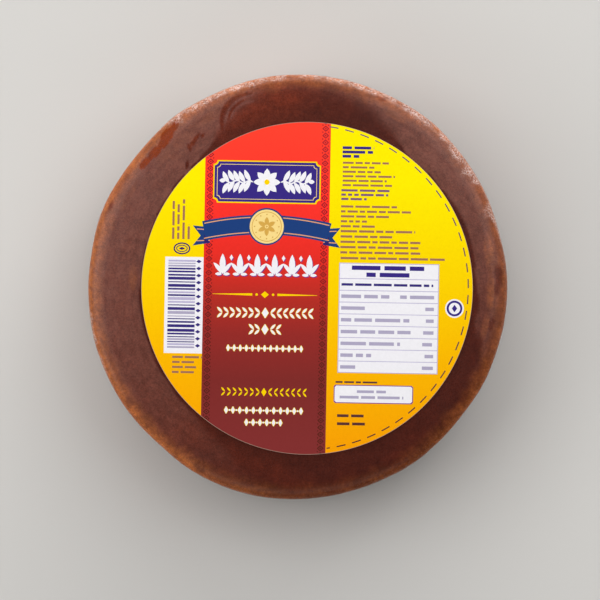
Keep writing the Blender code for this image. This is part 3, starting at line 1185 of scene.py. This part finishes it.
def label_mesh(block, label):
    """The printed sheet as a thin solid that follows the block's crown."""
    middle = (LABEL_LOW + LABEL_HIGH) / 2
    points, faces = printed_sheet(label.radius / MM, label.squeeze, label.bare / MM)
    bm = bmesh.new()
    cosine, sine = math.cos(label.turn), math.sin(label.turn)
    top = []
    for u, v in points:
        x = middle.x + (u * cosine - v * sine) * MM
        y = middle.y + (u * sine + v * cosine) * MM
        height = crown_height(block, math.hypot(x, y)) + LABEL_LIFT + label.thickness
        top.append(bm.verts.new((u * MM, v * MM, height)))
    for corners, ink in faces:
        face = bm.faces.new([top[corner] for corner in corners])
        face.material_index = ink
        face.smooth = True
    bmesh.ops.delete(bm, geom=[v for v in bm.verts if not v.link_faces], context="VERTS")

    rim = [edge for edge in bm.edges if edge.is_boundary]
    for item in bmesh.ops.extrude_edge_only(bm, edges=rim)["geom"]:
        if isinstance(item, bmesh.types.BMVert):
            item.co.z -= label.thickness
        if isinstance(item, bmesh.types.BMFace):
            item.material_index = INKS.index("paper")
    rim = [edge for edge in bm.edges if edge.is_boundary]
    for face in bmesh.ops.contextual_create(bm, geom=rim)["faces"]:
        face.material_index = INKS.index("paper")
    bmesh.ops.recalc_face_normals(bm, faces=bm.faces)
    mesh = bpy.data.meshes.new("paper_label")
    bm.to_mesh(mesh)
    bm.free()
    mesh.set_sharp_from_angle(angle=SHARP_ANGLE)
    return mesh


class PANELA_OT_paper_label(bpy.types.Operator):
    """Makes the printed paper label, laid on the film."""

    bl_idname = "panela.paper_label"
    bl_label = "Paper Label"

    def execute(self, context):
        block, label = context.scene.panela_block, context.scene.panela_label
        middle = (LABEL_LOW + LABEL_HIGH) / 2
        mesh = label_mesh(block, label)
        for ink in INKS:
            mesh.materials.append(ink_material(label, ink))
        piece = bpy.data.objects.new("paper_label", mesh)
        piece.location = (middle.x, middle.y, 0)
        piece.rotation_euler.z = label.turn
        context.scene.collection.objects.link(piece)
        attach(piece, BODY)
        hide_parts("label")
        return {"FINISHED"}


# ---------------------------------------------------------------- stage

CAMERA_PLACE = (0.63 * MM, -3.75 * MM)  # across the top
SENSOR_WIDTH = 36  # in millimetres
FLOOR_DROP = 0.2 * MM
ROOM_LIGHT = 0.12
# Softboxes: name, bearing and rise above the horizon in degrees, then distance, width, height and radiance.
SOFTBOXES = (
    ("panel_left", 150, 54, 1.4, 1.30, 1.05, 1.72),
    ("panel_right", 33, 54, 1.4, 1.10, 1.05, 1.66),
    ("panel_front", 268, 32, 1.5, 1.60, 0.70, 1.3),
    ("panel_west", 185, 28, 1.5, 1.20, 0.60, 2.2),
    ("strip_back", 80, 17, 1.3, 1.90, 0.45, 6.4),
)


class PANELA_OT_stage(bpy.types.Operator):
    """Makes the plain floor, the soft light and the camera."""

    bl_idname = "panela.stage"
    bl_label = "Stage"

    def execute(self, context):
        scene, stage = context.scene, context.scene.panela_stage
        bpy.ops.mesh.primitive_plane_add(size=6.0, location=(0, 0, -FLOOR_DROP))
        floor = context.object
        floor.name = "floor"
        paint, output = new_material("matte_emulsion_rolled")
        shader = add_node(paint, "BsdfPrincipled", {"Base Color": stage.floor, "Roughness": 0.8})
        paint.node_tree.links.new(shader.outputs[0], output.inputs["Surface"])
        floor.data.materials.append(paint)

        target = Vector((0, 0, BLOCK_HIGH.z))
        for name, bearing, rise, distance, width, height, radiance in SOFTBOXES:
            lamp = bpy.data.lights.new(name, "AREA")
            lamp.shape = "RECTANGLE"
            lamp.size = width
            lamp.size_y = height
            lamp.energy = radiance * math.pi * width * height
            box = bpy.data.objects.new(name, lamp)
            turn, lift = math.radians(bearing), math.radians(rise)
            level = math.cos(lift)
            away = Vector((math.cos(turn) * level, math.sin(turn) * level, math.sin(lift)))
            box.location = target + away * distance
            box.rotation_euler = away.to_track_quat("Z", "Y").to_euler()
            scene.collection.objects.link(box)

        world = bpy.data.worlds.new("studio")
        world.use_nodes = True
        world.node_tree.nodes["Background"].inputs["Color"].default_value = (1, 1, 1, 1)
        world.node_tree.nodes["Background"].inputs["Strength"].default_value = ROOM_LIGHT
        scene.world = world

        lens = bpy.data.cameras.new("camera")
        lens.lens = stage.lens
        lens.sensor_width = SENSOR_WIDTH
        camera = bpy.data.objects.new("camera", lens)
        camera.location = (*CAMERA_PLACE, BLOCK_HIGH.z + stage.camera_height)
        scene.collection.objects.link(camera)
        scene.camera = camera
        scene.view_settings.view_transform = "Standard"
        return {"FINISHED"}


# ---------------------------------------------------------------- panel and registration

OPERATORS = (PANELA_OT_sugar_block, PANELA_OT_shrink_film, PANELA_OT_paper_label, PANELA_OT_stage)


class PANELA_PT_sidebar(bpy.types.Panel):
    """The block's pieces and their settings."""

    bl_idname = "PANELA_PT_sidebar"
    bl_label = "Panela Block"
    bl_space_type = "VIEW_3D"
    bl_region_type = "UI"
    bl_category = "Panela"

    def draw(self, context):
        for operator, group in zip(OPERATORS, SETTINGS):
            column = self.layout.column()
            column.operator(operator.bl_idname)
            settings = getattr(context.scene, settings_name(group))
            for name in group.__annotations__:
                column.prop(settings, name)


def register():
    for item in (*SETTINGS, *OPERATORS, PANELA_PT_sidebar):
        bpy.utils.register_class(item)
    for group in SETTINGS:
        setattr(bpy.types.Scene, settings_name(group), PointerProperty(type=group))


def unregister():
    for group in SETTINGS:
        delattr(bpy.types.Scene, settings_name(group))
    for item in reversed((*SETTINGS, *OPERATORS, PANELA_PT_sidebar)):
        bpy.utils.unregister_class(item)


def main():
    register()
    bpy.ops.panela.sugar_block()
    bpy.ops.panela.shrink_film()
    bpy.ops.panela.paper_label()
    bpy.ops.panela.stage()


if __name__ == "__main__":
    main()
